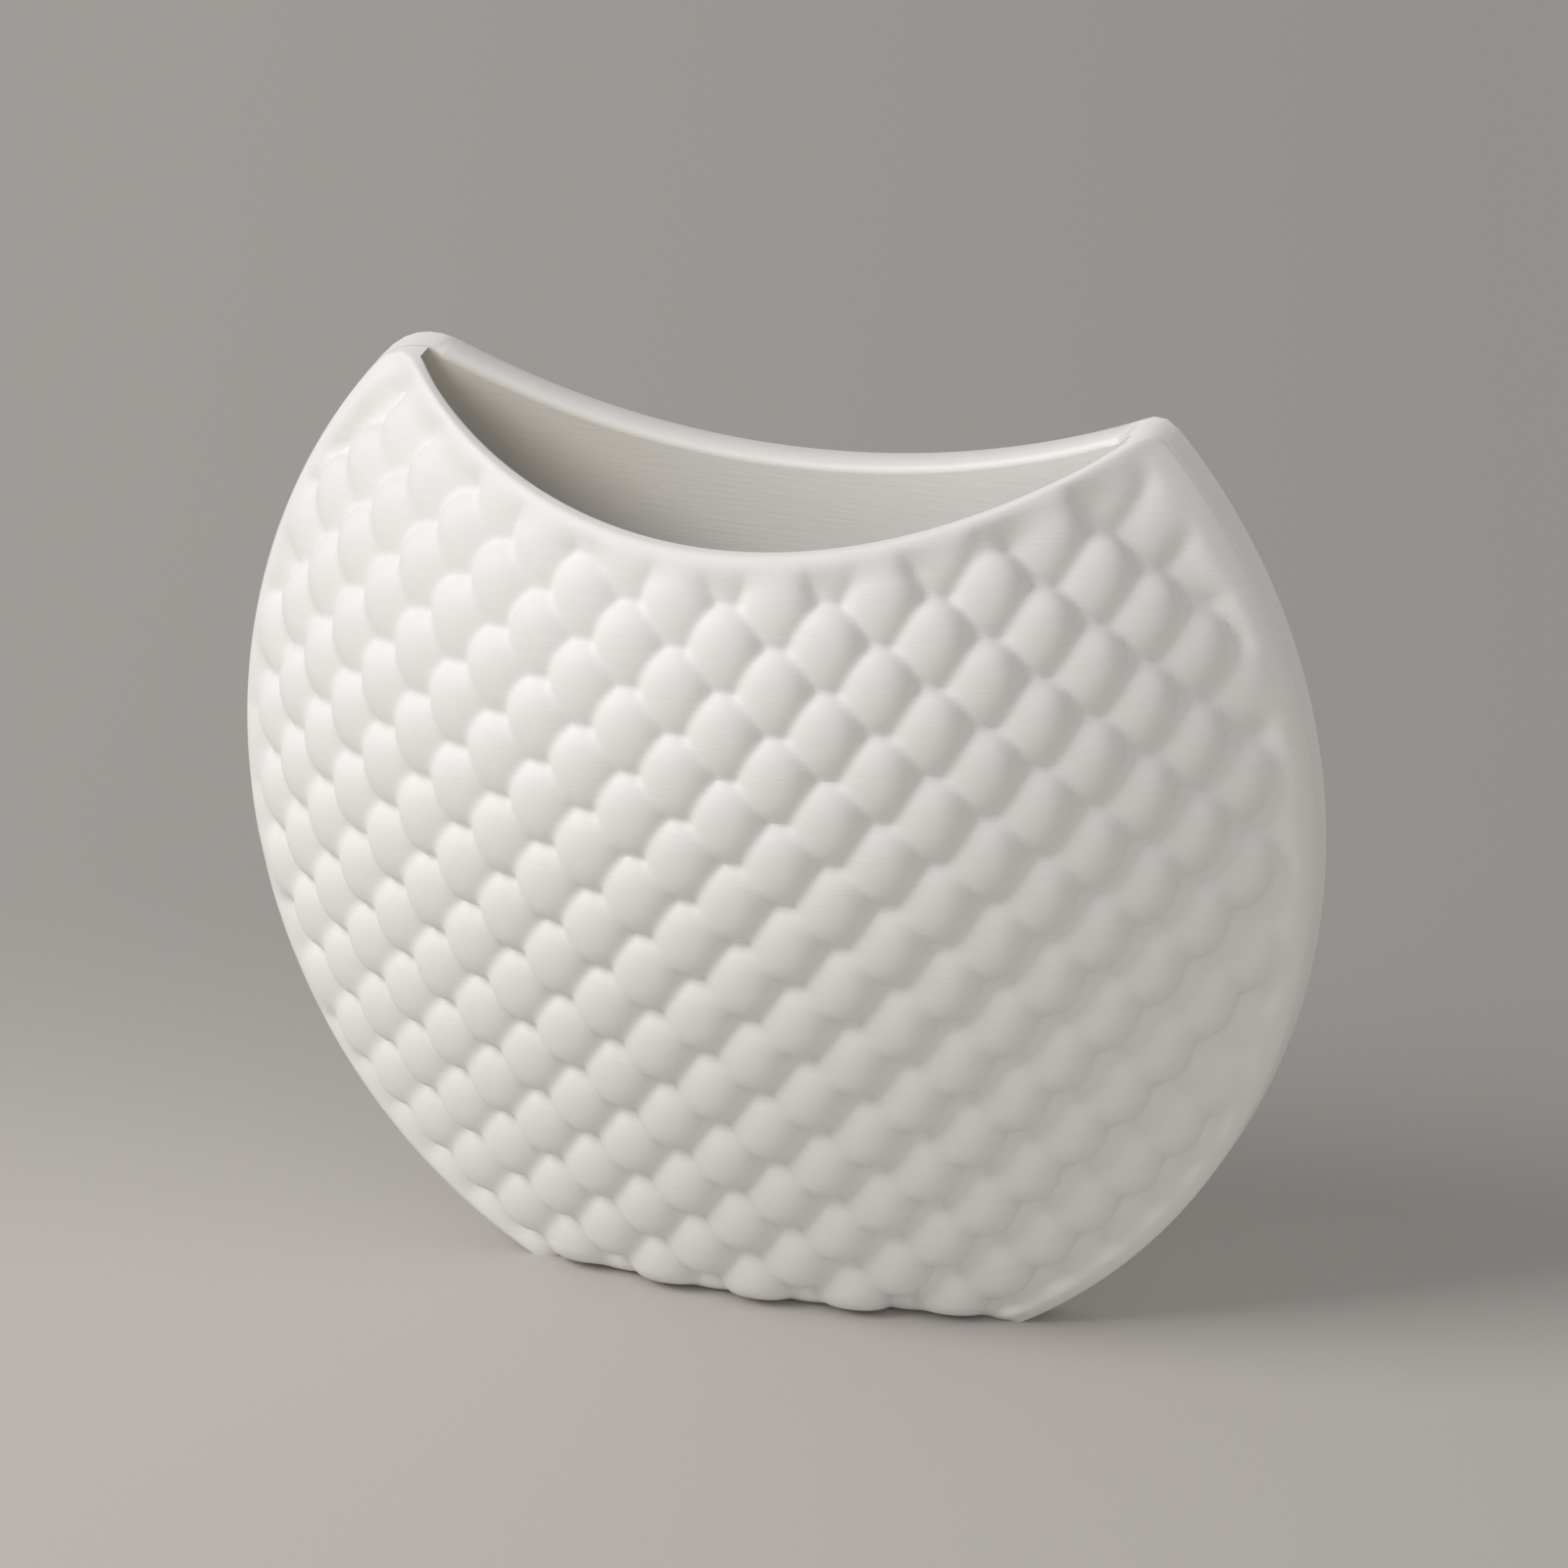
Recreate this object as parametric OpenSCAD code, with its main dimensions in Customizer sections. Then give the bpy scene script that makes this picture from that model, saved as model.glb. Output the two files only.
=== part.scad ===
// Hanging wall vase with a domed front.
// A flat back panel carries a bulged front shell, and two steel keyhole hangers
// let the vase hang on two wall screws. It also stands on its flat base.
// Origin: the middle of the oval outline, on the wall side of the back panel.
// +X runs along the wall, -Y points into the room, +Z points up.

/* [Outline] */
// Width of the oval outline
body_w = 160; // [130:1:200]
// Height of the full oval, before the base is cut flat and the mouth is scooped
oval_h = 177; // [165:1:210]
// Flat base, below the middle of the oval
base_drop = 78.5; // [68:0.5:80]
// Lowest point of the mouth, above the middle of the oval
mouth_z = 51; // [40:0.5:60]
// Radius of the arc that scoops the mouth
mouth_r = 130; // [105:1:180]
// Blend that rounds the two tips beside the mouth
tip_blend = 3.5; // [1:0.5:6]

/* [Front] */
// Greatest depth, from the wall to the top of the domes
body_d = 48; // [40:0.5:64]
// Depth of the straight edge all round the outline
edge_d = 6.5; // [6.5:0.1:10]
// How square the belly is: 1 is a plain paraboloid, 0.5 an ellipsoid
belly_power = 0.86; // [0.6:0.01:1]
// How much fuller the belly is towards the mouth
top_fullness = 0.35; // [0:0.01:0.5]

/* [Walls] */
// Thickness of the back panel
back_t = 5.8; // [4:0.1:6.4]
// Thickness of the front wall, square to it, from the dome tops to the cavity
front_t = 4; // [4:0.1:6]
// Thickness of the front wall at the lip of the mouth
lip_t = 3; // [2.4:0.1:3.6]
// Thickness of the side wall at the tips, where it meets the back panel
side_t = 3.4; // [2.5:0.1:5]
// Thickness of the side wall lower down
low_side_t = 6; // [5.5:0.1:8]
// Thickness of the floor
floor_t = 7; // [3:0.5:12]
// Depth over which the lip of the front wall is rounded
lip_r = 1.6; // [0.8:0.1:2.2]

/* [Domes] */
// Distance between neighbouring columns of domes
col_pitch = 7.34; // [6.5:0.01:11]
// Distance between domes in one column
row_pitch = 13.73; // [12:0.01:18]
// Half the width of a dome
dome_rx = 5.9; // [5:0.1:8]
// Half the length of a dome, along its column
dome_rz = 6.9; // [5.5:0.1:9]
// How much a dome narrows downwards, as an egg does
dome_taper = 0.3; // [0:0.05:0.5]
// Height of a dome above the bottom of the pits
dome_h = 3; // [0.5:0.1:3.2]
// Plain band under the lip of the mouth
lip_band = 2.5; // [1:0.5:8]
// Plain band inside the outline
edge_band = 1.2; // [0:0.1:6]
// Distance over which domes fade into the plain bands
fade = 4; // [1:0.5:8]

/* [Back panel joint] */
// Clearance between the rib of the back panel and the front shell
rib_gap = 0.3; // [0.1:0.05:0.6]
// Thickness of the rib
rib_t = 2; // [1.2:0.1:3]
// Height of the rib above the panel
rib_h = 1.8; // [1:0.1:2.2]
// Top end of the rib, above the middle of the oval
rib_top = 18; // [0:1:24]

/* [Hanging] */
// Distance between the two hangers
hang_spacing = 70; // [50:1:76]
// Middle of the hangers, above the middle of the oval
hang_z = 4; // [0:0.5:6]
// Width of a hanger
hanger_w = 16; // [15:0.5:20]
// Length of a hanger
hanger_l = 42; // [40:0.5:46]
// Thickness of a hanger
hanger_t = 1.5; // [1:0.1:2]
// Hole that the head of a wall screw enters by
entry_d = 9; // [8:0.1:10]
// Width of the slot that the shank of a wall screw slides up
slot_w = 4.5; // [4:0.1:5.5]
// Travel of a wall screw from the entry hole to the end of the slot
slot_travel = 9; // [7:0.5:10]
// Depth of the pocket for the head of a wall screw, behind the hanger
pocket_d = 4; // [3:0.1:4.5]
// Height of the boss round each hanger, above the inside of the panel
boss_h = 4.5; // [4:0.1:6]
// Wall of the boss round a hanger
boss_wall = 2.5; // [2:0.1:4]
// Clearance round each hanger in its recess
hanger_gap = 0.2; // [0.1:0.05:0.4]

/* [Hanger screws] */
// Shank diameter of a hanger screw
screw_d = 3; // [2.5:0.1:3.5]
// Length of a hanger screw, head included
screw_l = 7.5; // [6:0.1:8]
// Head diameter of a hanger screw
screw_head_d = 5.6; // [5:0.1:6]
// Distance of each hanger screw from the middle of its hanger
screw_offset = 16; // [15:0.1:17]
// Radial clearance of each hanger screw in the hanger and the panel
screw_gap = 0.1; // [0.05:0.05:0.2]

/* [Bumpers] */
// Diameter of a wall bumper
bumper_d = 10; // [8:0.5:14]
// Thickness of a wall bumper
bumper_t = 2.2; // [1.8:0.1:3]
// Depth of the recess that holds a bumper
bumper_recess = 1.5; // [1:0.1:1.6]
// Distance between the two bumpers
bumper_spacing = 64; // [40:1:70]
// Height of the bumpers above the base
bumper_up = 20; // [14:1:30]

/* [Hidden] */

glaze = "#eceae6";      // white matte body
steel = "#a9adb1";      // bright zinc-plated steel
rubber = "#d9d8d2";     // pale translucent bumper

half_w = body_w / 2;
half_h = oval_h / 2;
base_z = -base_drop;
floor_z = base_z + floor_t;
in_w = half_w - side_t;     // half axes of the cavity's outline at the tips
in_h = half_h - side_t;
low_w = half_w - low_side_t;        // and lower down, where the belly is shallower
low_h = max(half_h - low_side_t - 4, -1.02 * floor_z);      // its oval reaches below the floor
lip_inner = 0.4;            // rounding of the lip's inner edge
round_fn = 48;              // facets of round holes, hangers and screws
eps = 0.01;

// Counts of the front shell's mesh
cols = 76;          // along the width
rows = 58;          // up the outside
in_rows = 11;       // down the inside

// ---- the oval outline and the mouth --------------------------------------

function clamp01(t) = min(1, max(0, t));
function smooth(t) = let (s = clamp01(t)) s * s * (3 - 2 * s);

// Height of an oval at x, and half its width at z
function oval_z(x, a, b) = b * sqrt(max(0, 1 - pow(x / a, 2)));
function oval_x(z, a, b) = a * sqrt(max(0, 1 - pow(z / b, 2)));

// Arc that scoops the mouth
function mouth_arc(x) = mouth_z + mouth_r - sqrt(mouth_r * mouth_r - x * x);

// Top edge of the vase: the arc, blended into the oval at the tips
function top_edge(x) =
    let (arc = mouth_arc(x), oval = oval_z(x, half_w, half_h),
         over = max(0, tip_blend - abs(arc - oval)))
    min(arc, oval) - over * over / (4 * tip_blend);

// Root of f between lo and hi, by halving
function solve(f, lo, hi, n = 40) =
    let (mid = (lo + hi) / 2)
    n == 0 ? mid : f(lo) * f(mid) <= 0 ? solve(f, lo, mid, n - 1) : solve(f, mid, hi, n - 1);

// Where the sides end and the top edge begins, outside and inside
tip_x = solve(function(x) mouth_arc(x) - oval_z(x, half_w, half_h) - tip_blend, 0, half_w - 1);
tip_z = oval_z(tip_x, half_w, half_h);
in_tip_x = solve(function(x) mouth_arc(x) - oval_z(x, in_w, in_h), 0, in_w - 1);
in_tip_z = oval_z(in_tip_x, in_w, in_h);

// Height of row m of the cavity's outline, counted from the tips, in steps of equal angle
function inner_z(m) =
    m == 0 ? in_tip_z : m == in_rows ? floor_z
    : let (a0 = asin(in_tip_z / in_h), a1 = asin(floor_z / low_h)) in_h * sin(a0 + (a1 - a0) * m / in_rows);

// Half the width of the cavity at z
function inner_x(z) =
    let (low = smooth((in_tip_z - z) / 30))
    oval_x(z, in_w + (low_w - in_w) * low, in_h + (low_h - in_h) * low);

// ---- depth of the front --------------------------------------------------

// Belly before it is scaled to the depth asked for
function belly_form(x, z) =
    pow(max(0, 1 - pow(x / half_w, 2) - pow(z / half_h, 2)), belly_power)
    * (1 + top_fullness * z / half_w);
belly_peak = max([for (i = [0 : 50]) belly_form(0, mouth_z * i / 50)]);
belly_depth = (body_d - edge_d) / belly_peak;

// Distance of the smooth front from the wall
function front_depth(x, z) = edge_d + belly_depth * belly_form(x, z);

// ---- lattice of domes ----------------------------------------------------

// Domes stand in columns, and neighbouring columns are half a pitch apart.
// Over ten columns or ten half rows the lattice bends by these lengths.
lattice_x = -1.5;       // place of the middle column
lattice_z = -8.7;       // place of the middle row
edge_squeeze = 5.2;     // columns close up towards the sides
side_shift = 0.8;       // and move to the right on both sides
column_lean = 1.4;      // they lean to the right on the way down
column_bow = 1.1;       // and bow a little
row_rise = 4.4;         // rows climb to the right
row_bow = 1.7;          // droop towards the sides
row_dip = 0.5;          // and dip at the far right
row_fan = 4.1;          // rows spread to the upper right
row_pinch = 1.8;        // and close up at the sides
row_turn = 1;
row_squeeze = 1.55;     // rows close up at the top
row_crowd = 3.25;       // and at the bottom

// Place of column c and half row r
function lattice_place(col, row) =
    let (c = col / 10, r = row / 10)
    [lattice_x + 10 * col_pitch * c + side_shift * c * c - edge_squeeze * c * c * c
         - column_lean * r - column_bow * r * r,
     lattice_z + 5 * row_pitch * r + row_rise * c - row_bow * c * c - row_dip * c * c * c
         + row_fan * c * r - row_pinch * c * c * r - row_turn * c * r * r
         - row_squeeze * r * r - row_crowd * r * r * r];

// Column and half row of a place, in steps that each mend what the last one missed
function lattice_at(x, z, c = 0, r = 0, n = 8) =
    n == 0 ? [c, r] :
    let (p = lattice_place(c, r))
    lattice_at(x, z, c + (x - p.x) / col_pitch, r + (z - p.y) / (row_pitch / 2), n - 1);

// Slope of the front's depth along z
function slope_z(x, z) = (front_depth(x, z + 0.1) - front_depth(x, z - 0.1)) / 0.2;
function slope_x(x, z) = (front_depth(x + 0.1, z) - front_depth(x - 0.1, z)) / 0.2;

// Height of the dome in column ci and half row ri, above the bottom of the pits
function dome_rise(x, z, ci, ri) =
    let (p = lattice_place(ci, ri), slope = slope_z(p.x, p.y),
         fore = front_depth(x, z) - front_depth(p.x, p.y), aside = x - p.x, up = z - p.y,
         v = min(dome_rz, max(-dome_rz, (up + slope * fore) / sqrt(1 + slope * slope))),
         u = sqrt(max(0, aside * aside + up * up + fore * fore - v * v)),
         near = norm([u / (dome_rx * (1 + dome_taper * v / dome_rz)), v / dome_rz]))
    dome_h * sqrt(1 - pow(min(near, 1), dome_power));
dome_power = 2.2;       // 2 is a round cap, more is flatter on top

// How far the surface lies below the dome tops
function dome_sink(x, z) =
    let (at = lattice_at(x, z), c0 = floor(at[0]), r0 = floor(at[1]))
    dome_h - max([for (i = [-1 : 2], j = [-1 : 2]) if ((c0 + i + r0 + j) % 2 == 0)
                      dome_rise(x, z, c0 + i, r0 + j)]);

// Share of the relief that is left beside the lip and the outline
function relief_share(x, z) =
    let (inward = half_w * (1 - sqrt(pow(x / half_w, 2) + pow(z / half_h, 2))))
    smooth((inward - edge_band) / fade) * smooth((top_edge(x) - lip_r - z - lip_band) / fade);

// A point of the domed surface: the smooth front, sunk square to itself between the domes
function domed_point(x, z) =
    let (sx = slope_x(x, z), sz = slope_z(x, z),
         sink = dome_sink(x, z) * relief_share(x, z) / sqrt(1 + sx * sx + sz * sz))
    [x + sx * sink, -front_depth(x, z) + sink, z + sz * sink * smooth((z - base_z) / 4)];

// ---- front shell ---------------------------------------------------------

// Depth of the cavity: it leaves room for the rib all round, and thins the wall at the lip
function cavity_depth(x, z) =
    let (lip = smooth(1 - (top_edge(x) - z) / 14), wall = front_t * norm([1, slope_x(x, z), slope_z(x, z)]))
    max(back_t + rib_h + rib_gap, front_depth(x, z) - wall * (1 - lip) - lip_t * lip);

// Height of a row that runs from z0 at its ends, and is share t of the way up
function row_z(u, t, z0, top_x, top_z) = z0 + t * t * (top_edge((2 * u - 1) * top_x) - top_z);

// One row of points on the outside, from the seam on the left to the seam on the right
function outer_row(k) =
    let (t = k / rows, z0 = base_z + t * (tip_z - base_z), x0 = oval_x(z0, half_w, half_h),
         drop = lip_r * t * t * t)
    concat([[-x0, -back_t, z0]],
        [for (i = [0 : cols]) let (u = i / cols, x = (2 * u - 1) * x0,
            z = row_z(u, t, z0, tip_x, tip_z) - drop * sin(180 * u)) domed_point(x, z)],
        [[x0, -back_t, z0]]);

// One row of points on the inside, k counted from the floor
function inner_row(k) =
    let (z0 = inner_z(in_rows - k), t = (z0 - floor_z) / (in_tip_z - floor_z), x0 = inner_x(z0),
         drop = lip_inner * t)
    concat([[-x0, -back_t, z0]],
        [for (i = [0 : cols]) let (u = i / cols, x = (2 * u - 1) * x0,
            z = row_z(u, t, z0, in_tip_x, in_tip_z) - drop * sin(180 * u))
            [x, -cavity_depth(x, z), z]],
        [[x0, -back_t, z0]]);

// Rows over the lip: share of the way in, and drop below the top edge as a share of lip_r
lip_rows = [[0.12, 0.5], [0.3, 0.16], [0.55, 0]];
function lip_row(from, to, way, drop) =
    [for (i = [0 : cols + 2]) let (p = from[i] * (1 - way) + to[i] * way, inner = min(max(i - 1, 0), cols))
        [p[0], p[1], i == 0 || i == cols + 2 ? p[2]
            : top_edge(p[0]) * (1 - edge_share(inner)) + p[2] * edge_share(inner) - drop * lip_r * (1 - edge_share(inner))]];
// 1 at the two ends of a row and 0 over the rest of it
function edge_share(i) = 1 - smooth(min(i, cols - i) / 3);

// Outer row level with the height z at the seam
function level_row(z) = min(rows - 2, max(0, round(rows * (z - base_z) / (tip_z - base_z))));

// Flat seam on one side, in triangles: over the tip, down beside the cavity and past the floor
function seam_leg(end, wide, last) =
    let (first = last - in_rows, top = level_row(in_tip_z), at = function(k) k * wide + end)
    concat([for (k = [top + 1 : first - 1]) [at(top), at(k + 1), at(k)]],
        [for (m = [0 : in_rows - 1])
            let (high = level_row(inner_z(m)), low = level_row(inner_z(m + 1)))
            each concat([for (k = [high : -1 : low + 1]) [at(first + m), at(k), at(k - 1)]],
                        [[at(first + m), at(low), at(first + m + 1)]])],
        [for (k = [level_row(floor_z) : -1 : 1]) [at(last), at(k), at(k - 1)]]);

module front_shell() {
    outside = [for (k = [0 : rows]) outer_row(k)];
    inside = [for (k = [0 : in_rows]) inner_row(in_rows - k)];
    lip = [for (s = lip_rows) lip_row(outside[rows], inside[0], s[0], s[1])];
    ribbon = concat(outside, lip, inside);
    wide = cols + 3;
    last = len(ribbon) - 1;
    // Each square of the mesh is split along its outer diagonal, so domes stay round
    strips = [for (k = [0 : last - 1], i = [0 : wide - 2])
        let (a = k * wide + i, b = a + 1, c = a + wide, d = c + 1,
             along = ribbon[k][i].y + ribbon[k + 1][i + 1].y < ribbon[k][i + 1].y + ribbon[k + 1][i].y)
        each along ? [[a, c, d], [a, d, b]] : [[a, c, b], [b, c, d]]];
    under = [for (i = [0 : wide - 1]) i];
    floor_top = [for (i = [wide - 1 : -1 : 0]) last * wide + i];
    seam = concat(seam_leg(0, wide, last), [for (f = seam_leg(wide - 1, wide, last)) [f[0], f[2], f[1]]],
        [[last * wide, 0, wide - 1], [last * wide, wide - 1, last * wide + wide - 1]]);
    color(glaze) polyhedron(points = [for (row = ribbon) each row],
                            faces = concat(strips, [under, floor_top], seam), convexity = 8);
}

// ---- back panel ----------------------------------------------------------

// Puts a flat shape on the wall plane and gives it thickness towards the room, from y0
module slab(y0, t) {
    translate([0, -y0, 0]) rotate([90, 0, 0]) linear_extrude(t) children();
}

module oval(a, b, n = 120) {
    polygon([for (i = [0 : n - 1]) [a * cos(360 * i / n), b * sin(360 * i / n)]]);
}

// The vase seen from the front
module outline(side_n = 60, top_n = 60) {
    a0 = asin(base_z / half_h);
    a1 = asin(tip_z / half_h);
    right = [for (i = [0 : side_n]) let (a = a0 + (a1 - a0) * i / side_n) [half_w * cos(a), half_h * sin(a)]];
    top = [for (i = [1 : top_n - 1]) let (x = tip_x * (1 - 2 * i / top_n)) [x, top_edge(x)]];
    left = [for (i = [side_n : -1 : 0]) [-right[i][0], right[i][1]]];
    polygon(concat(right, top, left));
}

// Upright slot with round ends; length is over its ends
module upright_slot(w, l) {
    square([w, l - w], center = true);
    for (s = [-1, 1]) translate([0, s * (l - w) / 2]) circle(d = w, $fn = round_fn);
}

entry_z = -slot_travel / 2;     // middle of the entry hole, from the middle of the hanger
module keyhole(entry, slot) {
    translate([0, entry_z]) circle(d = entry, $fn = round_fn);
    upright_slot(slot, slot_travel + slot);
}

// The cavity seen from the front, where it meets the back panel
module cavity_outline() {
    side = [for (m = [0 : in_rows]) [inner_x(inner_z(m)), inner_z(m)]];
    polygon(concat(side, [for (m = [in_rows : -1 : 0]) [-side[m][0], side[m][1]]]));
}

// Rib that holds the front shell in place, just inside its wall and its floor
module rib() {
    intersection() {
        difference() {
            offset(delta = -rib_gap) cavity_outline();
            offset(delta = -rib_gap - rib_t) cavity_outline();
        }
        translate([-half_w, base_z]) square([body_w, rib_top - base_z]);
    }
}

module at_hangers() {
    for (s = [-1, 1]) translate([s * hang_spacing / 2, hang_z]) children();
}

module at_bumpers() {
    for (s = [-1, 1]) translate([s * bumper_spacing / 2, base_z + bumper_up]) children();
}

module back_panel() {
    head_pocket = entry_d + 1;
    color(glaze) difference() {
        union() {
            slab(0, back_t) outline();
            slab(back_t, rib_h) rib();
            slab(back_t - eps, boss_h + eps) at_hangers()
                upright_slot(hanger_w + 2 * boss_wall, hanger_l + 2 * boss_wall);
        }
        slab(-eps, hanger_t + eps) at_hangers() upright_slot(hanger_w + 2 * hanger_gap, hanger_l + 2 * hanger_gap);
        slab(0, hanger_t + pocket_d) at_hangers() upright_slot(head_pocket, slot_travel + head_pocket);
        for (s = [-1, 1])
            slab(0, screw_l + screw_gap) at_hangers()
                translate([0, s * screw_offset]) circle(d = screw_d + 2 * screw_gap, $fn = round_fn);
        slab(-eps, bumper_recess + eps) at_bumpers() circle(d = bumper_d + 2 * hanger_gap, $fn = round_fn);
    }
}

// ---- hanging hardware ----------------------------------------------------

module keyhole_hanger(side) {
    color(steel) translate([side * hang_spacing / 2, 0, hang_z]) difference() {
        slab(0, hanger_t) difference() {
            upright_slot(hanger_w, hanger_l);
            keyhole(entry_d, slot_w);
            for (s = [-1, 1]) translate([0, s * screw_offset]) circle(d = screw_d + 2 * screw_gap, $fn = round_fn);
        }
        for (s = [-1, 1]) translate([0, 0, s * screw_offset]) rotate([90, 0, 0])
            translate([0, 0, -eps]) cylinder(h = screw_cone + eps, d1 = screw_head_d + 2 * screw_gap,
                                             d2 = screw_d + 2 * screw_gap, $fn = round_fn);
    }
}

screw_cone = hanger_t * 0.8;     // depth of a hanger screw's countersunk head

module hanger_screw(side, up) {
    point = screw_d / 2;
    color(steel) translate([side * hang_spacing / 2, 0, hang_z + up * screw_offset]) rotate([90, 0, 0])
        difference() {
            rotate_extrude($fn = round_fn) polygon([[0, 0], [screw_head_d / 2, 0], [screw_d / 2, screw_cone],
                [screw_d / 2, screw_l - point], [screw_d / 6, screw_l], [0, screw_l]]);
            for (a = [0, 90]) rotate(a) cube([screw_head_d * 0.6, 0.6, 1.2], center = true);
        }
}

module wall_bumper(side) {
    bevel = 0.4;
    color(rubber) translate([side * bumper_spacing / 2, bumper_t - bumper_recess, base_z + bumper_up])
        rotate([90, 0, 0]) rotate_extrude($fn = round_fn)
            polygon([[0, 0], [bumper_d / 2 - bevel, 0], [bumper_d / 2, bevel], [bumper_d / 2, bumper_t], [0, bumper_t]]);
}

front_shell();
back_panel();
keyhole_hanger(-1);  // keyhole_hanger_left
keyhole_hanger(1);  // keyhole_hanger_right
hanger_screw(-1, 1);  // hanger_screw_left_top
hanger_screw(-1, -1);  // hanger_screw_left_bottom
hanger_screw(1, 1);  // hanger_screw_right_top
hanger_screw(1, -1);  // hanger_screw_right_bottom
wall_bumper(-1);  // wall_bumper_left
wall_bumper(1);  // wall_bumper_right
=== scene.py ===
import math

import bpy
import bmesh
import numpy as np
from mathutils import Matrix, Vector


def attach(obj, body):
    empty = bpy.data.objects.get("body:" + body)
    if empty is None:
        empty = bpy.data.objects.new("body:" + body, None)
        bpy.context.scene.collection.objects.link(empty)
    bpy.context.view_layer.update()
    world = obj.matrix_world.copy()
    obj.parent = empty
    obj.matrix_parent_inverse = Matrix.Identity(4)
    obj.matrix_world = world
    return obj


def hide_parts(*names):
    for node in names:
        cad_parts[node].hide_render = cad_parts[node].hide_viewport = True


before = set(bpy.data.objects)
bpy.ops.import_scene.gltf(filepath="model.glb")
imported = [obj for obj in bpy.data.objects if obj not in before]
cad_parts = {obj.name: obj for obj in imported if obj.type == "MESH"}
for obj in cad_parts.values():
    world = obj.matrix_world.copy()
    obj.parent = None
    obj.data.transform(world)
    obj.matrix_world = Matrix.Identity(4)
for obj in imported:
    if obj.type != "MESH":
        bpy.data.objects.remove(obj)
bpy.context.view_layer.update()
print("frame loaded:", ", ".join(sorted(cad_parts)))

mm = 0.001  # the settings below are in millimetres, Blender works in metres


# camera

cameraSet = {
    "azimuth": 18.1,      # degrees to the right of straight on
    "elevation": 24.1,    # degrees above the horizon
    "distance": 3464.0,
    "aside": -1.0,        # the view's middle, right of the frame's origin
    "above": -1.6,        # and above it
    "lens": 556.6,
}


def makeCamera(settings):
    a = math.radians(settings["azimuth"])
    e = math.radians(settings["elevation"])
    back = Vector((math.sin(a) * math.cos(e), -math.cos(a) * math.cos(e), math.sin(e)))
    right = Vector((math.cos(a), math.sin(a), 0))
    up = back.cross(right)
    data = bpy.data.cameras.new("photoCamera")
    data.lens = settings["lens"]
    data.sensor_width = 36
    data.clip_start = 0.1
    data.clip_end = 40
    camera = bpy.data.objects.new("photoCamera", data)
    bpy.context.scene.collection.objects.link(camera)
    camera.location = (right * settings["aside"] + up * settings["above"]
                       + back * settings["distance"]) * mm
    camera.rotation_euler = (-back).to_track_quat("-Z", "Y").to_euler()
    bpy.context.scene.camera = camera


makeCamera(cameraSet)


# lamps and world

lightSet = {
    "keyFrom": (-0.63, -0.48, 0.61),   # large soft lamp, upper left and in front
    "keyStrength": 1.9,
    "keySpread": 30,                   # degrees across, for soft shadows
    "fillFrom": (0.5, -0.85, 0.15),    # weak and wide, from the front right
    "fillStrength": 0.32,
    "fillSpread": 60,
    "worldStrength": 0.43,
    "worldColour": (1.0, 0.985, 0.965),
}


def makeLights(settings):
    for name in ("key", "fill"):
        sun = bpy.data.lights.new(name + "Lamp", "SUN")
        sun.energy = settings[name + "Strength"]
        sun.angle = math.radians(settings[name + "Spread"])
        lamp = bpy.data.objects.new(name + "Lamp", sun)
        bpy.context.scene.collection.objects.link(lamp)
        lamp.rotation_euler = Vector(settings[name + "From"]).to_track_quat("Z", "Y").to_euler()
    world = bpy.data.worlds.new("studio")
    world.use_nodes = True
    shade = world.node_tree.nodes["Background"]
    shade.inputs["Color"].default_value = (*settings["worldColour"], 1)
    shade.inputs["Strength"].default_value = settings["worldStrength"]
    bpy.context.scene.world = world


makeLights(lightSet)
bpy.context.scene.view_settings.view_transform = "Standard"
print("camera and lamps are set")


# materials

class Wire:  # a socket that takes part in sums
    def __init__(self, sheet, socket):
        self.sheet = sheet
        self.socket = socket

    def sum(self, operation, first, second):
        return self.sheet.node("ShaderNodeMath", {"operation": operation}, {0: first, 1: second})

    def __add__(self, other):
        return self.sum("ADD", self, other)

    def __radd__(self, other):
        return self.sum("ADD", other, self)

    def __sub__(self, other):
        return self.sum("SUBTRACT", self, other)

    def __rsub__(self, other):
        return self.sum("SUBTRACT", other, self)

    def __mul__(self, other):
        return self.sum("MULTIPLY", self, other)

    def __rmul__(self, other):
        return self.sum("MULTIPLY", other, self)

    def __truediv__(self, other):
        return self.sum("DIVIDE", self, other)


class Finish:
    def __init__(self, name):
        self.material = bpy.data.materials.new(name)
        self.material.use_nodes = True
        self.tree = self.material.node_tree
        self.tree.nodes.clear()
        self.output = self.tree.nodes.new("ShaderNodeOutputMaterial")
        self.place = self.node("ShaderNodeTexCoord", {}, {}, "Object")

    def node(self, kind, settings, values, out=0):
        made = self.tree.nodes.new(kind)
        for name, value in settings.items():
            setattr(made, name, value)
        for name, value in values.items():
            socket = made.inputs[name]
            if isinstance(value, Wire):
                self.tree.links.new(value.socket, socket)
            else:
                socket.default_value = value
        return Wire(self, made.outputs[out])

    def shader(self, values):
        made = self.node("ShaderNodeBsdfPrincipled", {}, values)
        self.tree.links.new(made.socket, self.output.inputs["Surface"])
        return self.material


bodySet = {
    "colour": (0.87, 0.862, 0.845),
    "hollowColour": (0.825, 0.812, 0.788),
    "insideShadeLeft": (0.66, 0.628, 0.565),     # painted shade and bounce light on the wall inside the mouth, warm and dim to the left
    # the painted gradient's lit end, brighter than the body's own colour
    "insideLitRight": (0.93, 0.912, 0.88),
    "insideFrom": -42.0, "insideTo": 30.0,  # where the two meet, in mm along the wall
    "insideFade": 0.9,
    "roughness": 0.62, "roughSpread": 0.1, "shine": 0.35,
    "layerPitch": 0.45,                     # mm between the layers' faint lines
    "layerDepth": 0.12, "layerStrength": 0.35,
    "layerStretch": 0.06,                   # under 1 draws the lines out along the layers
    "patchScale": 60.0, "patchShare": 0.25, "patchRelief": 0.15,
}


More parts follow.
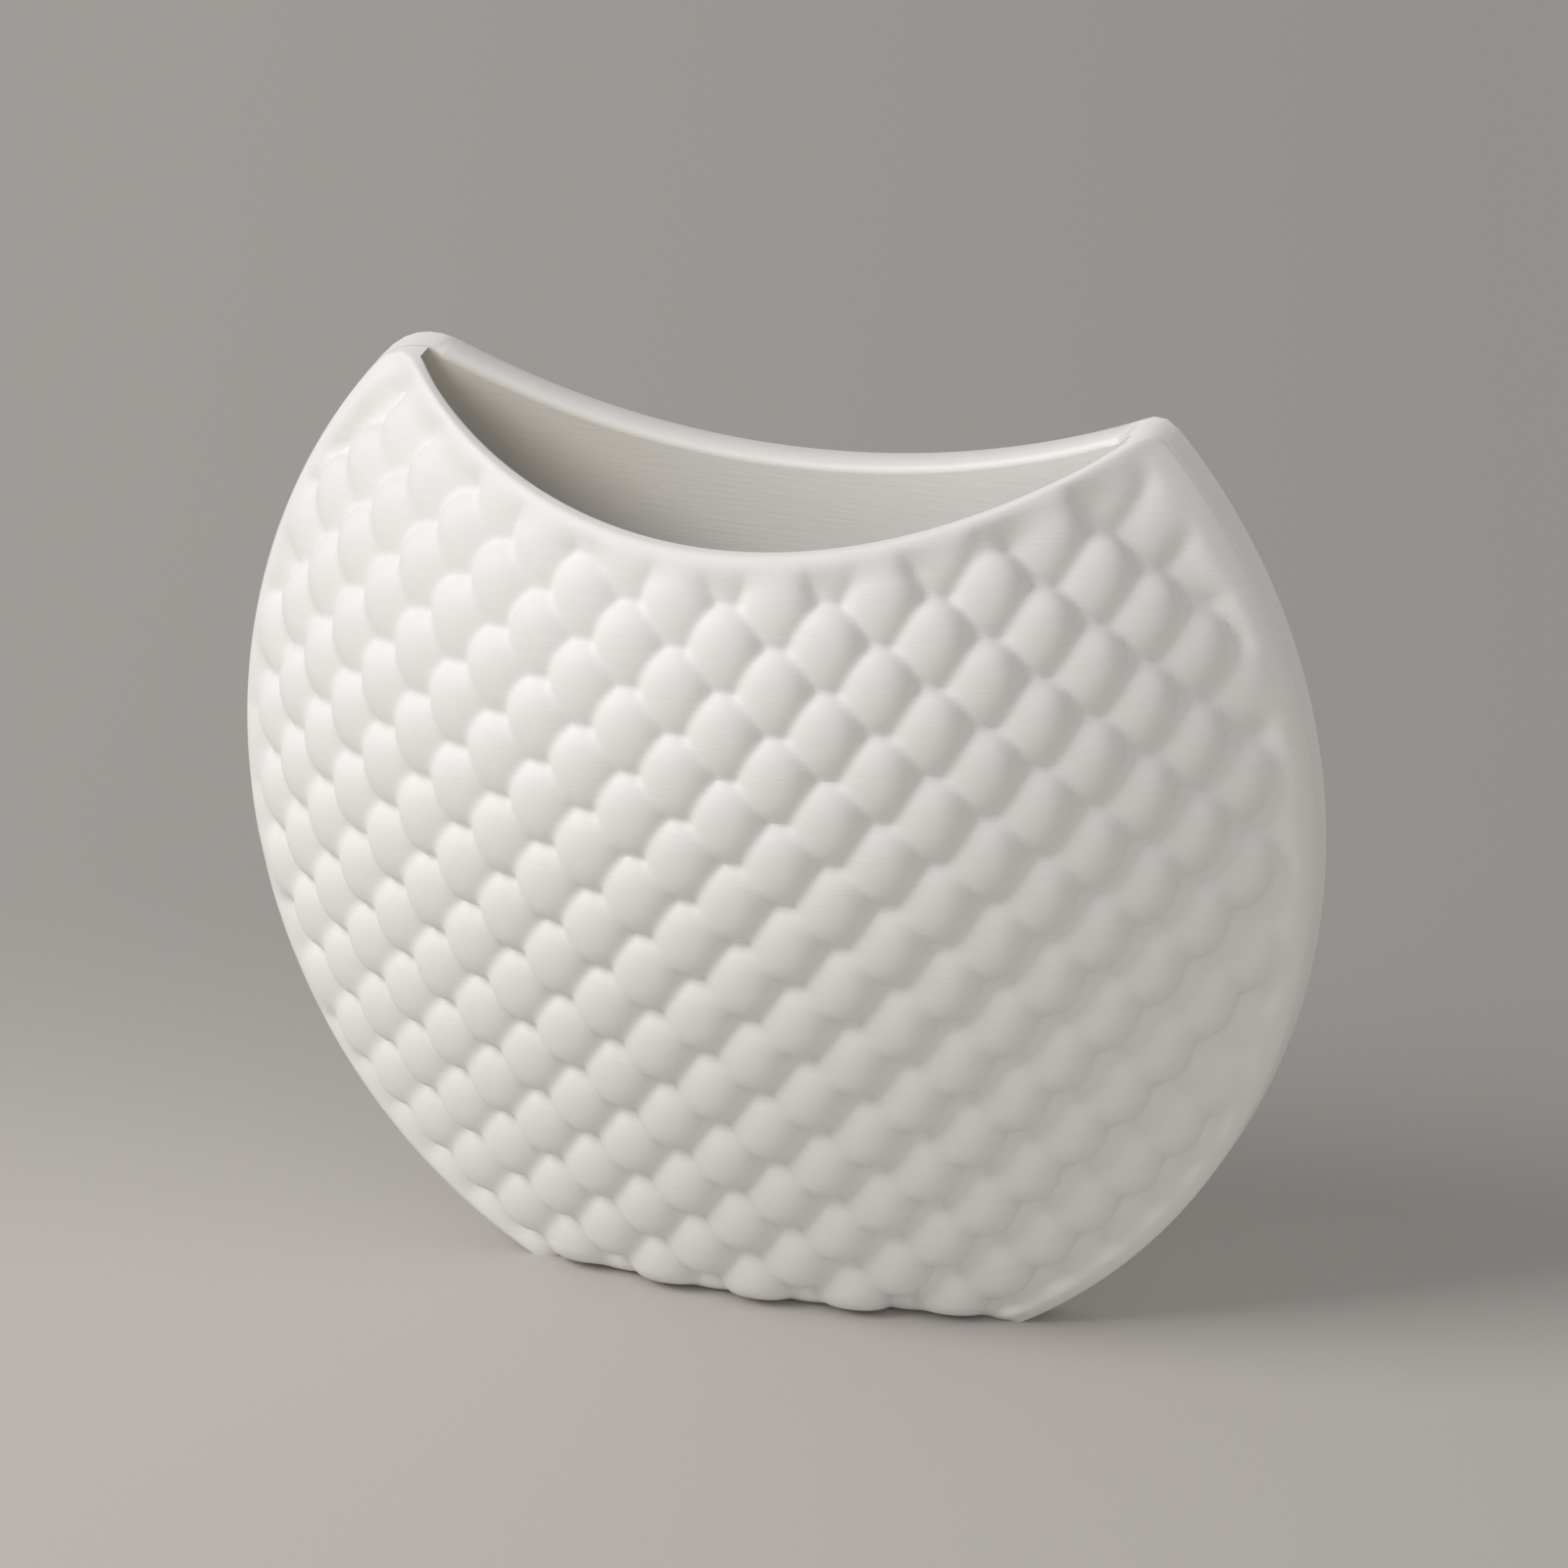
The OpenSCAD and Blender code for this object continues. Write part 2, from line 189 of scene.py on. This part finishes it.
def makeBodyFinish(settings, name, insideY):  # in front of insideY it takes a painted gradient of shade and light instead of the body's colour
    finish = Finish(name)
    stretched = finish.node("ShaderNodeMapping", {}, {
        "Vector": finish.place,
        "Scale": (settings["layerStretch"], settings["layerStretch"], 1.0)})
    layers = finish.node("ShaderNodeTexNoise", {}, {
        "Vector": stretched, "Scale": 1 / (settings["layerPitch"] * mm), "Detail": 2.0,
        "Roughness": 0.6})
    patches = finish.node("ShaderNodeTexNoise", {}, {
        "Vector": finish.place, "Scale": settings["patchScale"], "Detail": 3.0})
    colour = finish.node("ShaderNodeMix", {"data_type": "RGBA"}, {
        "Factor": settings["patchShare"] * patches + (1 - settings["patchShare"]) * layers,
        6: (*settings["hollowColour"], 1), 7: (*settings["colour"], 1)}, 2)
    aside, depth = (finish.node("ShaderNodeSeparateXYZ", {}, {0: finish.place}, k) for k in (0, 1))
    # painted shade: along the inside wall the colour runs from dim and warm at the left to bright at the
    # right, standing in for the front wall's shadow and its warm bounce light
    across = finish.node("ShaderNodeMapRange", {}, {
        "Value": aside / mm, "From Min": settings["insideFrom"], "From Max": settings["insideTo"]})
    paintedInsideShade = finish.node("ShaderNodeMix", {"data_type": "RGBA"}, {
        "Factor": across, 6: (*settings["insideShadeLeft"], 1), 7: (*settings["insideLitRight"], 1)}, 2)
    # mask of the painted shade: the part in front of insideY
    inside = finish.node("ShaderNodeClamp", {}, {
        "Value": (insideY * mm - depth) / (settings["insideFade"] * mm)})
    colour = finish.node("ShaderNodeMix", {"data_type": "RGBA"}, {
        "Factor": inside, 6: colour, 7: paintedInsideShade}, 2)
    relief = finish.node("ShaderNodeBump", {}, {
        "Height": layers + settings["patchRelief"] * patches, "Strength": settings["layerStrength"],
        "Distance": settings["layerDepth"] * mm})
    return finish.shader({
        "Base Color": colour, "Normal": relief, "Specular IOR Level": settings["shine"],
        "Roughness": settings["roughness"] + settings["roughSpread"] * (layers - 0.5)})


bodyFinish = makeBodyFinish(bodySet, "whiteMatteBody", -100.0)   # nothing lies that far forward
panelFinish = makeBodyFinish(bodySet, "whiteMattePanel", -4.9)   # the painted shade and light are on its front, inside the mouth


# outline shared by the shell and the panel

outlineSet = {
    "halfWidth": 80.0,
    "halfHeight": 88.5,
    "baseZ": -78.5,
    "mouthZ": 51.0,
    "mouthRadius": 130.0,
    "tipBlend": 3.5,
    "leftBlend": 9.5,     # the left tip is lower and rounder than the right one
    "dropReach": 14.0, "dropFade": 12.0,   # how far down that lowering runs
    "seamY": 5.8,         # thickness of the back panel
}
halfWidth, halfHeight = outlineSet["halfWidth"], outlineSet["halfHeight"]
baseZ, seamY = outlineSet["baseZ"], outlineSet["seamY"]


def smooth(t):
    t = np.clip(t, 0, 1)
    return t * t * (3 - 2 * t)


def endShare(u):  # 0 at the two ends of a row, 1 from a twentieth of the row inward
    return smooth(np.minimum(u, 1 - u) / 0.05)


def mouthArc(x):
    r = outlineSet["mouthRadius"]
    return outlineSet["mouthZ"] + r - np.sqrt(r * r - x * x)


def ovalZ(x, a=halfWidth, b=halfHeight):
    return b * np.sqrt(np.maximum(0, 1 - (x / a) ** 2))


def ovalX(z, a=halfWidth, b=halfHeight):
    return a * np.sqrt(np.maximum(0, 1 - (z / b) ** 2))


def topEdge(x):
    arc, oval, blend = mouthArc(x), ovalZ(x), outlineSet["tipBlend"]
    over = np.maximum(0, blend - np.abs(arc - oval))
    return np.minimum(arc, oval) - over ** 2 / (4 * blend)


def tipDrop(x, z):  # how far the left tip lies below the right one's form
    near = np.abs(mouthArc(x) - ovalZ(x))
    old, new = (np.maximum(0, outlineSet[k] - near) ** 2 / (4 * outlineSet[k])
                for k in ("tipBlend", "leftBlend"))
    reach = smooth((z - topEdge(x) + outlineSet["dropReach"]) / outlineSet["dropFade"])
    return np.where(x < 0, new - old, 0) * reach


def halve(rule, low, high):
    for _ in range(50):
        middle = (low + high) / 2
        if rule(low) * rule(middle) <= 0:
            high = middle
        else:
            low = middle
    return low


tipX = halve(lambda x: mouthArc(x) - ovalZ(x) - outlineSet["tipBlend"], 0, halfWidth - 1)
tipZ = ovalZ(tipX)


# front shell

shellSet = {
    "depth": 48.0, "edgeDepth": 6.5, "bellyPower": 0.86, "topFullness": 0.35,
    "sideWall": 3.4, "lowSideWall": 6.0, "lowFade": 30.0, "lowNarrow": 2.5,
    "wall": 4.0, "lipWall": 3.0, "lipBlend": 14.0, "seamGap": 2.1, "floor": 7.0,
    "lipRound": 1.6, "lipInner": 0.5, "lipFront": 0.55, "lipBack": 0.8,
    "baseRound": 3.2, "baseFade": 3.0, "tuckFrom": 0.3, "tuckFade": 4.0,
    "domeRadius": 5.8, "domeLength": 6.9, "domeTaper": 0.1, "domeHeight": 3.2, "domePower": 2.2,
    "domeLean": 0.12, "leanLeast": -0.9, "leanMost": 1.2,
    "domeFront": 0.7, "domeAside": 0.85,      # how far each dome turns to the front
    "peakLean": 0.1, "peakCurve": 0.23,       # how much a turned dome gains in height
    "grooveRound": 0.13,
    "lipBand": 0.2, "edgeBand": 1.3, "leftBand": -0.3, "fade": 2.5,   # smooth bands without domes
    "bandFrom": -40.0, "bandFade": 60.0,      # where the left band gives way to the right one
    "lipSoft": 16, "lipShare": 0.25, "lipReach": 6, "lipFade": 3,     # evening out of the mesh
    "grooveSoft": 2, "grooveShare": 0.15,
    "columns": 300, "outerRows": 236, "lipRows": 14, "innerRows": 26,
}
columnPitch, rowPitch = 7.34, 6.87            # of the domes' lattice
inWidth = halfWidth - shellSet["sideWall"]
inHeight = halfHeight - shellSet["sideWall"]
inTipX = halve(lambda x: mouthArc(x) - ovalZ(x, inWidth, inHeight), 0, inWidth - 1)
inTipZ = ovalZ(inTipX, inWidth, inHeight)
bellyLine = np.linspace(0, outlineSet["mouthZ"], 51)


def bellyForm(x, z):
    round_ = np.maximum(0, 1 - (x / halfWidth) ** 2 - (z / halfHeight) ** 2)
    return round_ ** shellSet["bellyPower"] * (1 + shellSet["topFullness"] * z / halfWidth)


bellyDepth = (shellSet["depth"] - shellSet["edgeDepth"]) / bellyForm(0, bellyLine).max()


def frontDepth(x, z):
    return shellSet["edgeDepth"] + bellyDepth * bellyForm(x, z)


def slopes(x, z):
    step = 0.05
    return ((frontDepth(x + step, z) - frontDepth(x - step, z)) / (2 * step),
            (frontDepth(x, z + step) - frontDepth(x, z - step)) / (2 * step))


def latticePlace(c, r):  # middle of the dome in column c and half row r, bent to the photo's rows
    c, r = c / 10, r / 10
    return (73.4 * c - 1.5 + 0.8 * c ** 2 - 5.2 * c ** 3 - 1.4 * r - 1.1 * r ** 2,
            68.65 * r - 8.7 + 4.4 * c - 1.7 * c ** 2 - 0.5 * c ** 3 + 4.1 * c * r - 1.8 * c * c * r
            - c * r * r - 1.55 * r ** 2 - 3.25 * r ** 3)


def latticeAt(x, z):
    c, r = np.zeros_like(x), np.zeros_like(x)
    for _ in range(14):
        atX, atZ = latticePlace(c, r)
        c, r = c + (x - atX) / columnPitch, r + (z - atZ) / rowPitch
    return c, r


def domeRise(across, along, fore):
    wide = shellSet["domeRadius"] * (1 + shellSet["domeTaper"] * along / shellSet["domeLength"])
    near = np.hypot(across / wide, along / shellSet["domeLength"])
    cap = shellSet["domeHeight"] * np.sqrt(1 - np.minimum(near, 1) ** shellSet["domePower"])
    lean = (shellSet["domeLean"] * along - shellSet["domeFront"] * fore) / shellSet["domeLength"]
    return cap * (1 + np.clip(lean, shellSet["leanLeast"], shellSet["leanMost"]))


def domePeak(x, z):  # a dome's highest point above the grooves, more where it leans more
    slopeX, slopeZ = slopes(x, z)
    up = shellSet["domeLean"] - shellSet["domeFront"] * slopeZ / np.sqrt(1 + slopeZ ** 2)
    aside = shellSet["domeAside"] * shellSet["domeFront"] * slopeX / np.sqrt(1 + slopeX ** 2)
    lean = np.hypot(up, aside)
    return shellSet["domeHeight"] * (1 + shellSet["peakLean"] * lean + shellSet["peakCurve"] * lean ** 2)


def domeField(x, z):  # how far the surface sinks below the domes' tops
    c, r = latticeAt(x, z)
    c0, r0 = np.floor(c), np.floor(r)
    depth = frontDepth(x, z)
    blend, long, step = shellSet["grooveRound"], shellSet["domeLength"], 0.1
    rise = np.zeros(x.shape)
    for i in (-1, 0, 1, 2):
        for j in (-2, -1, 0, 1, 2, 3):
            there = (c0 + i + r0 + j) % 2 == 0
            xi, zi = latticePlace(c0 + i, r0 + j)
            fore, aside, up = depth - frontDepth(xi, zi), x - xi, z - zi
            slope = (frontDepth(xi, zi + step) - frontDepth(xi, zi - step)) / (2 * step)
            along = np.clip((up + slope * fore) / np.sqrt(1 + slope ** 2), -long, long)
            across = np.sqrt(np.maximum(0, aside ** 2 + up ** 2 + fore ** 2 - along ** 2))
            rise = rise + np.where(there, np.exp(domeRise(across, along, fore) / blend), 0)
    return np.maximum(domePeak(x, z) - blend * np.log(np.maximum(rise, 1)), 0)


def reliefShare(x, z):  # 0 in the smooth bands, 1 among the domes
    inward = halfWidth * (1 - np.sqrt((x / halfWidth) ** 2 + (z / halfHeight) ** 2))
    below = topEdge(x) - shellSet["lipRound"] - z
    right = smooth((x - shellSet["bandFrom"]) / shellSet["bandFade"])
    band = shellSet["edgeBand"] * right + shellSet["leftBand"] * (1 - right)
    offEdge = smooth((inward - band) / shellSet["fade"])
    return offEdge * smooth((below - shellSet["lipBand"]) / shellSet["fade"])


def outerPoint(u, t):  # on the outside, t from 0 at the base to 1 at the lip
    z0 = baseZ + t * (tipZ - baseZ)
    x = (2 * u - 1) * ovalX(z0)
    z = z0 + t * t * (topEdge((2 * u - 1) * tipX) - tipZ) - shellSet["lipRound"] * t ** 3 * endShare(u)
    depth = frontDepth(x, z)
    slopeX, slopeZ = slopes(x, z)
    sink = domeField(x, z) * reliefShare(x, z) / np.sqrt(1 + slopeX ** 2 + slopeZ ** 2)
    up = np.maximum(0, shellSet["baseRound"] - (z - baseZ))
    tuck = shellSet["baseRound"] - np.sqrt(np.maximum(0, shellSet["baseRound"] ** 2 - up ** 2))
    y = -(depth - sink - tuck * smooth((depth - seamY - shellSet["tuckFrom"]) / shellSet["tuckFade"]))
    return x + slopeX * sink, y, z + slopeZ * sink * smooth((z - baseZ) / shellSet["baseFade"])


def innerPoint(u, t):  # in the cavity, t from 0 at the floor to 1 at the lip
    floorZ = baseZ + shellSet["floor"]
    z0 = floorZ + t * (inTipZ - floorZ)
    low = smooth((inTipZ - z0) / shellSet["lowFade"]) * (shellSet["lowSideWall"] - shellSet["sideWall"])
    x = (2 * u - 1) * ovalX(z0, inWidth - low, inHeight - low * shellSet["lowNarrow"])
    z = z0 + t * t * (topEdge((2 * u - 1) * inTipX) - inTipZ) - shellSet["lipInner"] * t ** 3 * endShare(u)
    lip = smooth(1 - (topEdge(x) - z) / shellSet["lipBlend"])
    slopeX, slopeZ = slopes(x, z)
    wall = shellSet["wall"] * np.sqrt(1 + slopeX ** 2 + slopeZ ** 2)
    depth = frontDepth(x, z) - wall * (1 - lip) - shellSet["lipWall"] * lip
    return x, -np.maximum(seamY + shellSet["seamGap"], depth), z


def softenLip(sheet, settings):  # evens out the bend where the front runs into the lip
    away = np.abs(np.arange(sheet.shape[0]) - settings["outerRows"])[:, None, None]
    aside = np.linspace(0, 1, sheet.shape[1])[None, :, None]
    share = smooth((settings["lipReach"] - away) / settings["lipFade"]) * endShare(aside)
    share = settings["lipShare"] * share[1:-1]
    for _ in range(settings["lipSoft"]):
        sheet[1:-1] += share * (sheet[:-2] - 2 * sheet[1:-1] + sheet[2:])


def softenGrooves(sheet, settings):  # takes the nicks out of the narrow grooves
    front = sheet[:settings["outerRows"], 1:-1]
    middle = front[1:-1, 1:-1]
    for _ in range(settings["grooveSoft"]):
        beside = front[:-2, 1:-1] + front[2:, 1:-1] + front[1:-1, :-2] + front[1:-1, 2:]
        middle += settings["grooveShare"] * (beside - 4 * middle)


def lipProfile(turn, settings):  # share of the way in, and drop below the top edge
    wide, outerR, innerR, first, second = (settings[k] for k in (
        "lipWall", "lipRound", "lipInner", "lipFront", "lipBack"))
    a = np.clip(turn / first, 0, 1) * math.pi / 2
    b = np.clip((turn - second) / (1 - second), 0, 1) * math.pi / 2
    flat = np.clip((turn - first) / (second - first), 0, 1)
    way = outerR * (1 - np.cos(a)) + (wide - outerR - innerR) * flat + innerR * np.sin(b)
    fall = outerR * (1 - np.sin(a)) + innerR * (1 - np.cos(b))
    return way / wide, fall


def makeShell(settings):  # one grid, from the base up the outside, over the lip and down the inside
    columns, outer, lip, inner = (settings[k] for k in ("columns", "outerRows", "lipRows", "innerRows"))
    rows = outer + lip + inner
    bpy.ops.mesh.primitive_grid_add(x_subdivisions=columns, y_subdivisions=rows, size=1)
    piece = bpy.context.object
    piece.name = "reliefShell"
    mesh = piece.data
    place = np.empty(len(mesh.vertices) * 3)
    mesh.vertices.foreach_get("co", place)
    place = place.reshape(-1, 3)
    column = np.rint((place[:, 0] + 0.5) * columns)
    row = np.rint((place[:, 1] + 0.5) * rows)
    edge = (column == 0) | (column == columns)
    u = np.clip((column - 1) / (columns - 2), 0, 1)
    t = np.clip(row / outer, 0, 1)
    x, y, z = outerPoint(u, t)
    deep = np.clip((rows - row) / inner, 0, 1)
    xi, yi, zi = innerPoint(u, deep)
    # over the lip: up along its rounding, across its top, down its inner edge
    turn = np.clip((row - outer) / lip, 0, 1)
    way, fall = lipProfile(turn, settings)
    xl = x * (1 - way) + xi * way
    yl = y * (1 - way) + yi * way
    zl = topEdge(xl) - fall * endShare(u)
    onLip, inside = (row > outer) & (row < outer + lip), row >= outer + lip
    x, y, z = (np.where(inside, i, np.where(onLip, m, o)) for o, m, i in
               ((x, xl, xi), (y, yl, yi), (z, zl, zi)))
    y = np.where(edge, -seamY, y)
    z = z - tipDrop(x, z)
    order = (row * (columns + 1) + column).astype(int)   # sheet holds the points row by row
    sheet = np.empty((len(order), 3))
    sheet[order] = np.stack([x, y, z], 1)
    sheet = sheet.reshape(rows + 1, columns + 1, 3)
    softenLip(sheet, settings)
    softenGrooves(sheet, settings)
    place = sheet.reshape(-1, 3)[order] * mm
    mesh.vertices.foreach_set("co", place.ravel())
    mesh.update()
    return piece


def choose(piece):
    bpy.ops.object.select_all(action="DESELECT")
    piece.select_set(True)
    bpy.context.view_layer.objects.active = piece


def closeShell(piece, settings):  # fills the base, the cavity's floor and the seam
    work = bmesh.new()
    work.from_mesh(piece.data)
    floorZ = (baseZ + settings["floor"]) * mm

    def rimOf(test):
        return [e for e in work.edges if len(e.link_faces) == 1 and all(test(v.co) for v in e.verts)]

    low = rimOf(lambda p: abs(p.z - baseZ * mm) < 1e-6)
    high = rimOf(lambda p: abs(p.z - floorZ) < 1e-6 and p.y < -seamY * mm + 1e-9)
    for rim in (low, high):
        ends = [v for e in rim for v in e.verts if sum(f in rim for f in v.link_edges) == 1]
        work.edges.new(ends)
        bmesh.ops.contextual_create(work, geom=rim + [work.edges.get(ends)])
    bmesh.ops.holes_fill(work, edges=[e for e in work.edges if len(e.link_faces) == 1], sides=0)
    bmesh.ops.recalc_face_normals(work, faces=work.faces)
    work.to_mesh(piece.data)
    work.free()


frontShell = makeShell(shellSet)
closeShell(frontShell, shellSet)
frontShell.data.materials.append(bodyFinish)
choose(frontShell)
bpy.ops.object.shade_smooth_by_angle(angle=math.radians(50))
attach(frontShell, "root")
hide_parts("front_shell")
print("front shell:", len(frontShell.data.polygons), "faces")


# back panel and hanging hardware: the solids' own shapes, merged, with their edges softened

panelSet = {
    "mouthRound": 0.9, "mouthSteps": 4,   # soft inner edge along the mouth
    "wallRound": 0.25, "wallSteps": 1,    # crisp edge on the wall side
    "onCurve": 0.15, "onPlane": 0.01,     # how near, in mm, an edge has to lie to count as one of those
}


def copyOf(nodeName):
    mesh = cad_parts[nodeName].data.copy()
    piece = bpy.data.objects.new(nodeName + "Piece", mesh)
    bpy.context.scene.collection.objects.link(piece)
    choose(piece)
    bpy.ops.object.mode_set(mode="EDIT")
    bpy.ops.mesh.select_all(action="SELECT")
    bpy.ops.mesh.remove_doubles(threshold=1e-6)
    bpy.ops.mesh.dissolve_limited(angle_limit=math.radians(0.5))
    bpy.ops.object.mode_set(mode="OBJECT")
    return piece


def roundEdges(piece, test, radius, steps):
    bpy.ops.object.mode_set(mode="EDIT")
    bpy.ops.mesh.select_all(action="DESELECT")
    bpy.ops.mesh.select_mode(type="EDGE")
    bpy.ops.object.mode_set(mode="OBJECT")
    points = piece.data.vertices
    for edge in piece.data.edges:
        first, second = (points[i].co / mm for i in edge.vertices)
        edge.select = bool(test(first) and test(second))
    chosen = sum(edge.select for edge in piece.data.edges)
    bpy.ops.object.mode_set(mode="EDIT")
    bpy.ops.mesh.bevel(offset=radius * mm, offset_type="OFFSET", segments=steps, profile=0.5)
    bpy.ops.object.mode_set(mode="OBJECT")
    print("rounded", chosen, "edges of", piece.name)


def finishPiece(piece, nodeName, finish, angle):
    piece.data.materials.clear()
    piece.data.materials.append(finish)
    choose(piece)
    bpy.ops.object.shade_smooth_by_angle(angle=math.radians(angle))
    for face in piece.data.polygons:
        if max(abs(part) for part in face.normal) > 0.99999:   # the flat sides stay evenly shaded
            face.use_smooth = False
    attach(piece, "root")
    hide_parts(nodeName)


def makePanel(settings):
    def onCurve(distance):
        return abs(distance) < settings["onCurve"]

    def onPlane(distance):
        return abs(distance) < settings["onPlane"]

    def onMouth(p):  # along the mouth, short of its tips
        return onPlane(p.y + seamY) and abs(p.x) < inTipX - 1 and onCurve(p.z - topEdge(p.x))

    def onWallEdge(p):  # all round, on the wall side
        onSide = onCurve(abs(p.x) - ovalX(p.z)) and p.z < tipZ + 0.1
        return onPlane(p.y) and (onSide or onCurve(p.z - topEdge(p.x)) or onPlane(p.z - baseZ))

    piece = copyOf("back_panel")
    roundEdges(piece, onMouth, settings["mouthRound"], settings["mouthSteps"])
    roundEdges(piece, onWallEdge, settings["wallRound"], settings["wallSteps"])
    points = piece.data.vertices
    place = np.empty(len(points) * 3)
    points.foreach_get("co", place)
    place = place.reshape(-1, 3) / mm
    place[:, 2] -= tipDrop(place[:, 0], place[:, 2])
    points.foreach_set("co", (place * mm).ravel())
    finishPiece(piece, "back_panel", panelFinish, 40)


metalSet = {
    "colour": (0.62, 0.63, 0.64), "dark": (0.46, 0.47, 0.49),
    "roughness": 0.36, "roughSpread": 0.16, "edgeRound": 0.16,
    "grainPitch": 0.12, "grainStretch": 0.05, "grainDepth": 0.02, "grainStrength": 0.25,
    "cloudScale": 180.0, "cloudShare": 0.5,
}


def makeSteelFinish(settings):
    finish = Finish("zincPlatedSteel")
    stretched = finish.node("ShaderNodeMapping", {}, {
        "Vector": finish.place, "Scale": (1.0, 1.0, settings["grainStretch"])})
    grain = finish.node("ShaderNodeTexNoise", {}, {
        "Vector": stretched, "Scale": 1 / (settings["grainPitch"] * mm), "Detail": 3.0})
    clouds = finish.node("ShaderNodeTexNoise", {}, {
        "Vector": finish.place, "Scale": settings["cloudScale"], "Detail": 2.0})
    colour = finish.node("ShaderNodeMix", {"data_type": "RGBA"}, {
        "Factor": (1 - settings["cloudShare"]) * grain + settings["cloudShare"] * clouds,
        6: (*settings["dark"], 1), 7: (*settings["colour"], 1)}, 2)
    relief = finish.node("ShaderNodeBump", {}, {
        "Height": grain, "Strength": settings["grainStrength"], "Distance": settings["grainDepth"] * mm})
    return finish.shader({
        "Base Color": colour, "Metallic": 1.0, "Normal": relief,
        "Roughness": settings["roughness"] + settings["roughSpread"] * (clouds - 0.5)})


bumperSet = {
    "colour": (0.78, 0.77, 0.73), "dusty": 0.86,
    "roughness": 0.55, "roughSpread": 0.2, "edgeRound": 0.12,
    "grainScale": 2500.0, "grainDepth": 0.03, "grainStrength": 0.2, "cloudScale": 250.0,
}


def makeRubberFinish(settings):
    finish = Finish("paleSoftBumper")
    grain = finish.node("ShaderNodeTexNoise", {}, {
        "Vector": finish.place, "Scale": settings["grainScale"], "Detail": 3.0})
    clouds = finish.node("ShaderNodeTexNoise", {}, {
        "Vector": finish.place, "Scale": settings["cloudScale"]})
    dusty = tuple(settings["dusty"] * c for c in settings["colour"])
    colour = finish.node("ShaderNodeMix", {"data_type": "RGBA"}, {
        "Factor": clouds, 6: (*dusty, 1), 7: (*settings["colour"], 1)}, 2)
    relief = finish.node("ShaderNodeBump", {}, {
        "Height": grain, "Strength": settings["grainStrength"], "Distance": settings["grainDepth"] * mm})
    return finish.shader({
        "Base Color": colour, "Normal": relief,
        "Roughness": settings["roughness"] + settings["roughSpread"] * (clouds - 0.5)})


def makeSmallPieces(names, finish, radius):
    for name in names:
        piece = copyOf(name)
        soften = piece.modifiers.new("soften", "BEVEL")
        soften.width, soften.segments = radius * mm, 1
        soften.limit_method, soften.angle_limit = "ANGLE", math.radians(40)
        soften.use_clamp_overlap = True
        bpy.ops.object.modifier_apply(modifier="soften")
        finishPiece(piece, name, finish, 35)
        print(name, "made with", len(piece.data.polygons), "faces")


makePanel(panelSet)
hardware = sorted(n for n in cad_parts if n.startswith(("keyhole_hanger", "hanger_screw")))
bumpers = sorted(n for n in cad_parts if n.startswith("wall_bumper"))
makeSmallPieces(hardware, makeSteelFinish(metalSet), metalSet["edgeRound"])
makeSmallPieces(bumpers, makeRubberFinish(bumperSet), bumperSet["edgeRound"])


# floor

floorSet = {
    "size": 12000.0,
    "colour": (0.582, 0.552, 0.530),
    "nearY": -15.0, "farY": 150.0, "farShadeShare": 0.73,   # painted shade: the floor is painted darker away from the camera, for the light's falloff
    "sideShadeShare": 0.84, "halfView": 112.0,              # and painted darker from left to right, away from the key lamp
    "grain": 0.05, "grainScale": 900.0,
    "roughness": 0.9, "shine": 0.1,
}


def makeFloor(settings):
    bpy.ops.mesh.primitive_plane_add(size=settings["size"] * mm, location=(0, 0, baseZ * mm))
    plane = bpy.context.object
    plane.name = "studioFloor"
    finish = Finish("warmGreyPaper")
    x, y = (finish.node("ShaderNodeSeparateXYZ", {}, {0: finish.place}, k) for k in (0, 1))
    turn = math.radians(cameraSet["azimuth"])   # the two painted shade gradients follow the camera's view
    away = (y - math.tan(turn) * x) / mm
    # painted shade: far darkens the floor away from the camera, side darkens it towards the right; the
    # grain is the paper's own tone
    far = finish.node("ShaderNodeMapRange", {"interpolation_type": "SMOOTHSTEP"}, {
        "Value": away, "From Min": settings["nearY"], "From Max": settings["farY"],
        "To Min": 1.0, "To Max": settings["farShadeShare"]})
    side = finish.node("ShaderNodeMapRange", {}, {
        "Value": (math.cos(turn) * x + math.sin(turn) * y) / mm, "From Min": -settings["halfView"],
        "From Max": settings["halfView"], "To Min": 1.0, "To Max": settings["sideShadeShare"]})
    grain = finish.node("ShaderNodeTexNoise", {}, {
        "Vector": finish.place, "Scale": settings["grainScale"], "Detail": 4.0})
    colour = finish.node("ShaderNodeMix", {"data_type": "RGBA"}, {
        "Factor": far * side * (1 - 0.5 * settings["grain"] + settings["grain"] * grain),
        6: (0, 0, 0, 1), 7: (*settings["colour"], 1)}, 2)
    plane.data.materials.append(finish.shader({
        "Base Color": colour, "Roughness": settings["roughness"],
        "Specular IOR Level": settings["shine"]}))


makeFloor(floorSet)
